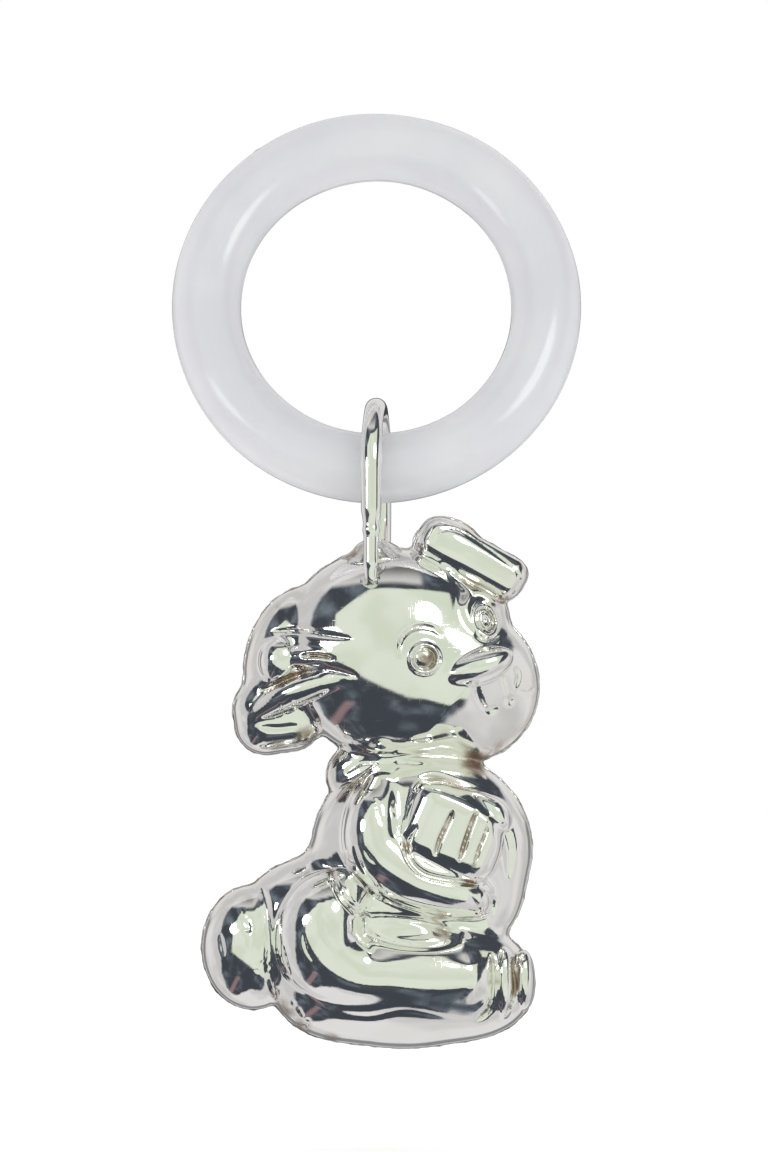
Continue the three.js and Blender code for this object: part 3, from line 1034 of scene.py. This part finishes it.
LENS = 135
SENSOR = 36
VIEW_HEIGHT = 125.6 * MM  # what the frame's long side shows at the puppy
AIM = (0.84 * MM, -11.85 * MM)  # the middle of the picture, across and up from the hinge


def camera():
    """A long lens, level, looking square on at the front half."""
    data = bpy.data.cameras.new("camera")
    data.lens = LENS
    data.sensor_width = SENSOR
    data.clip_start = 0.01
    thing = bpy.data.objects.new("camera", data)
    bpy.context.scene.collection.objects.link(thing)
    distance = VIEW_HEIGHT * LENS / SENSOR
    thing.location = HINGE + Vector((AIM[0], -distance, AIM[1]))
    thing.rotation_euler = (math.pi / 2, 0, 0)
    bpy.context.scene.camera = thing


def world():
    """A made-up studio that only reflections show. All other light from it is plain white. Round the camera
    is a pale green softbox, with dark slate about it, a grey band overhead and a pink streak. Past a limit
    that changes with direction are the pale sides. A direction is sorted by the surface slope that would
    send it to the camera, measured across and up."""
    studio = bpy.data.worlds.new("studio")
    bpy.context.scene.world = studio
    studio.use_nodes = True
    g = Graph(studio.node_tree)
    background = studio.node_tree.nodes["Background"]
    towards_world = g.node("ShaderNodeTexCoord").outputs["Generated"]
    dx, dy, dz = g.node("ShaderNodeSeparateXYZ", {0: towards_world}).outputs
    length = g.math("SQRT", g.math("MULTIPLY_ADD", dy, -2.0, 2.0001))
    across = g.math("DIVIDE", dx, length)
    up = g.math("DIVIDE", dz, length)
    place = g.node("ShaderNodeCombineXYZ", {"X": across, "Y": up}).outputs[0]
    slope = g.math("SQRT", g.math("ADD", g.math("MULTIPLY", across, across), g.math("MULTIPLY", up, up)))

    def towards(angle):
        """How far the slope leans towards an angle, in degrees from the right and up."""
        cos, sin = math.cos(math.radians(angle)), math.sin(math.radians(angle))
        return g.math("ADD", g.math("MULTIPLY", across, cos), g.math("MULTIPLY", up, sin))

    def lobe(angle, power, height):
        """A rise of that height about an angle, or a dip if it is negative. More power makes it narrower."""
        facing = g.math("DIVIDE", towards(angle), g.math("MAXIMUM", slope, 0.01))
        return g.math("MULTIPLY", g.math("POWER", g.math("MAXIMUM", facing, 0.0), power), height)

    def inside(sides, soft):
        """1 where every (angle, reach) side is kept to."""
        share = None
        for angle, reach in sides:
            side = g.step(towards(angle), reach + soft, reach - soft)
            share = side if share is None else g.math("MULTIPLY", share, side)
        return share

    # Slate, with the overhead band, the softbox and the pink streak laid over it
    mottle = g.noise(place, 5.0, 4.0)
    slate = g.mix(g.step(mottle, 0.45, 0.75), (0.052, 0.060, 0.074, 1), (0.18, 0.215, 0.25, 1))

    overhead = inside([(-90, -0.545), (0, 0.26), (180, 0.45)], 0.03)
    overhead_grey = g.mix(g.step(up, 0.56, 0.72), (0.60, 0.60, 0.585, 1), (0.16, 0.16, 0.155, 1))
    colour = g.mix(overhead, slate, overhead_grey)

    softbox = inside([(180, 0.38), (0, 0.50), (90, 0.49), (-90, 0.36), (-119, 0.235), (127, 0.47)], 0.012)
    wave = g.mix(g.step(g.noise(place, 3.0, 1.0), 0.4, 0.6), (0.66, 0.735, 0.60, 1), (0.74, 0.80, 0.69, 1))
    colour = g.mix(softbox, colour, wave)

    streak = inside([(145, 0.035), (-35, 0.03), (-90, 0.72), (90, -0.38), (0, -0.12)], 0.02)
    colour = g.mix(g.math("MULTIPLY", streak, 0.45), colour, (0.52, 0.33, 0.33, 1))

    # The sides, with a ring of dim patches behind the rattle and a dark patch straight behind it
    wall = g.noise(towards_world, 1.6, 2.0)
    sides = g.mix(g.step(wall, 0.38, 0.62), (0.58, 0.58, 0.575, 1), (0.76, 0.755, 0.75, 1))
    curtain = g.math("MULTIPLY", g.step(dy, 0.64, 0.70), g.step(dy, 0.90, 0.84))
    patches = g.step(g.math("ADD", g.math("MULTIPLY", dz, 0.4), wall), 0.62, 0.50)
    sides = g.mix(g.math("MULTIPLY", curtain, patches), sides, (0.25, 0.26, 0.275, 1))
    sides = g.mix(g.step(dy, 0.925, 0.96), sides, (0.05, 0.055, 0.065, 1))

    limit = 0.66
    for angle, power, height in (
        (-118, 16, 0.20),
        (50, 6, 0.20),
        (140, 8, 0.04),
        (-35, 4, -0.16),
        (180, 10, -0.09),
        (-104, 16, -0.18),
    ):
        limit = g.math("ADD", lobe(angle, power, height), limit)
    past = g.math("SUBTRACT", g.math("MULTIPLY_ADD", g.math("SUBTRACT", mottle, 0.5), 0.10, slope), limit)
    colour = g.mix(g.step(past, -0.012, 0.03), colour, sides)

    rays = g.node("ShaderNodeLightPath").outputs
    g.put(background.inputs["Color"], g.mix(rays["Is Glossy Ray"], (1, 1, 1, 1), colour))


def floor():
    """A pale sheet under the hanging puppy, kept out of the reflections in its mirror finish."""
    mesh = bpy.data.meshes.new("floor")
    half = 0.6  # metres
    height = cad_box[0].z - 12 * MM
    corners = [(x * half, y * half, height) for x, y in ((-1, -1), (1, -1), (1, 1), (-1, 1))]
    mesh.from_pydata(corners, [], [(0, 1, 2, 3)])
    thing = bpy.data.objects.new("floor", mesh)
    bpy.context.scene.collection.objects.link(thing)
    material, g, shader = new_material("floor_paper")
    shader.inputs["Base Color"].default_value = (0.9, 0.9, 0.9, 1)
    shader.inputs["Roughness"].default_value = 0.9
    shader.inputs["Emission Color"].default_value = (1, 1, 1, 1)
    shader.inputs["Emission Strength"].default_value = 0.25
    mesh.materials.append(material)
    thing.visible_glossy = False


def lamp(name, place, target, size, power):
    """An oval softbox that shows in reflections and doesn't light matt surfaces. Its place and target are
    in millimetres from the hinge."""
    data = bpy.data.lights.new(name, "AREA")
    data.shape = "ELLIPSE"
    data.size, data.size_y = size
    data.energy = power
    thing = bpy.data.objects.new(name, data)
    bpy.context.scene.collection.objects.link(thing)
    start = HINGE + Vector(place) * MM
    end = HINGE + Vector(target) * MM
    thing.location = start
    thing.rotation_euler = (end - start).to_track_quat("-Z", "Y").to_euler()
    thing.visible_diffuse = False


camera()
world()
floor()
lamp("key_softbox", (68, -84, 44), (3, 0, 0), (0.05, 0.05), 0.026)
lamp("side_softbox", (-103, -90, 9), (0, 0, 0), (0.05, 0.04), 0.016)
bpy.context.scene.view_settings.view_transform = "Standard"
